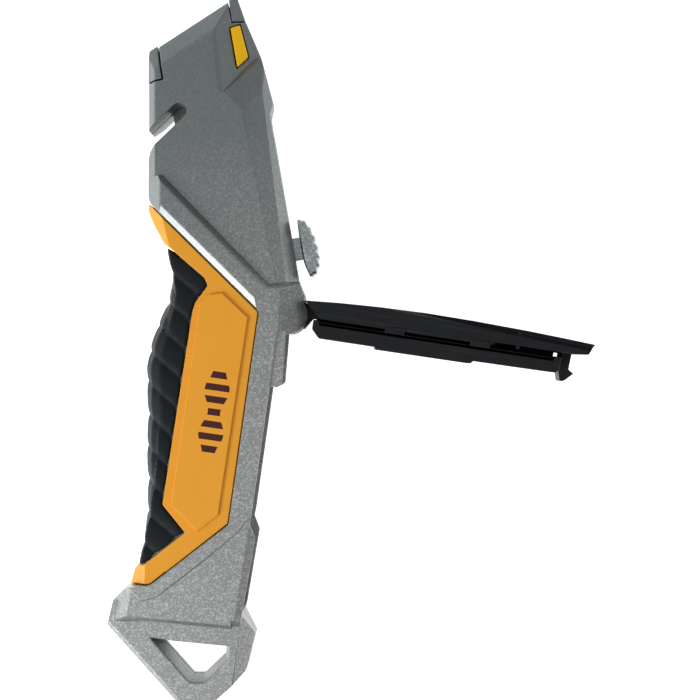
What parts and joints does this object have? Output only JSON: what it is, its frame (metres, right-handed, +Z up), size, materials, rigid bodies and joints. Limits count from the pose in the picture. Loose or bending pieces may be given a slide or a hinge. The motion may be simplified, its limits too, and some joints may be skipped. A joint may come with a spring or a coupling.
{
  "type": "utility knife",
  "caption": "Retractable trapezoid-blade utility knife with die-cast body, padded grips, thumb slider, blade release button and swing-out magazine for spare blades.",
  "frame": {"origin": "on the flat label panel of the right side, which the knife rests on, where the blade's centreline crosses the level of the magazine hinge", "axes": "+Z up, the outward direction of the left side; +Y the way the blade slides out of the nose; +X towards the spine with the thumb slider"},
  "size_m": [0.1381, 0.1823, 0.024],
  "materials": {
    "grey_paint": "die-cast alloy with grey metallic paint, fine grain",
    "yellow_plastic": "satin orange-yellow moulded plastic",
    "amber_plastic": "satin amber moulded plastic",
    "black_rubber": "soft matte black rubber, ribbed",
    "black_plastic": "satin black moulded plastic",
    "zinc_plate": "dull zinc plating",
    "blade_steel": "grey blade steel with a bright ground edge"
  },
  "bodies": {
    "root": {"left_shell": "grey_paint", "right_shell": "grey_paint", "left_grip_frame": "yellow_plastic", "right_grip_frame": "yellow_plastic", "left_rubber_grip": "black_rubber", "right_rubber_grip": "black_rubber", "body_screw_1": "zinc_plate", "body_screw_2": "zinc_plate", "body_screw_3": "zinc_plate", "magazine_hinge_pin": "blade_steel", "detent_strip": "blade_steel", "release_spring": "blade_steel"},
    "carriage": {"blade_carrier": "black_plastic", "cutting_blade": "blade_steel", "knob_spring": "blade_steel"},
    "knob": {"thumb_knob": "zinc_plate"},
    "release": {"release_button": "amber_plastic"},
    "magazine": {"magazine_cover": "black_plastic", "blade_tray": "black_plastic", "blade_retainer_spring": "blade_steel", "spare_blade_1": "blade_steel", "spare_blade_2": "blade_steel", "spare_blade_3": "blade_steel", "spare_blade_4": "blade_steel"}
  },
  "joints": [
    {"name": "blade_slide", "type": "slide", "parent": "root", "child": "carriage", "axis": [0, 1, 0], "range_m": [0, 0.027]},
    {"name": "knob_press", "type": "slide", "parent": "carriage", "child": "knob", "axis": [-1, 0, 0], "range_m": [0, 0.001], "stiffness_N_per_m": 1500, "deforming": ["knob_spring"]},
    {"name": "release_press", "type": "slide", "parent": "root", "child": "release", "axis": [0, 0, -1], "range_m": [0, 0.0008], "stiffness_N_per_m": 1200, "deforming": ["release_spring"]},
    {"name": "magazine_hinge", "type": "hinge", "parent": "root", "child": "magazine", "pos_m": [0.0116, 0, 0.012], "axis": [0, 0, 1], "range_deg": [-90, 0]}
  ]
}
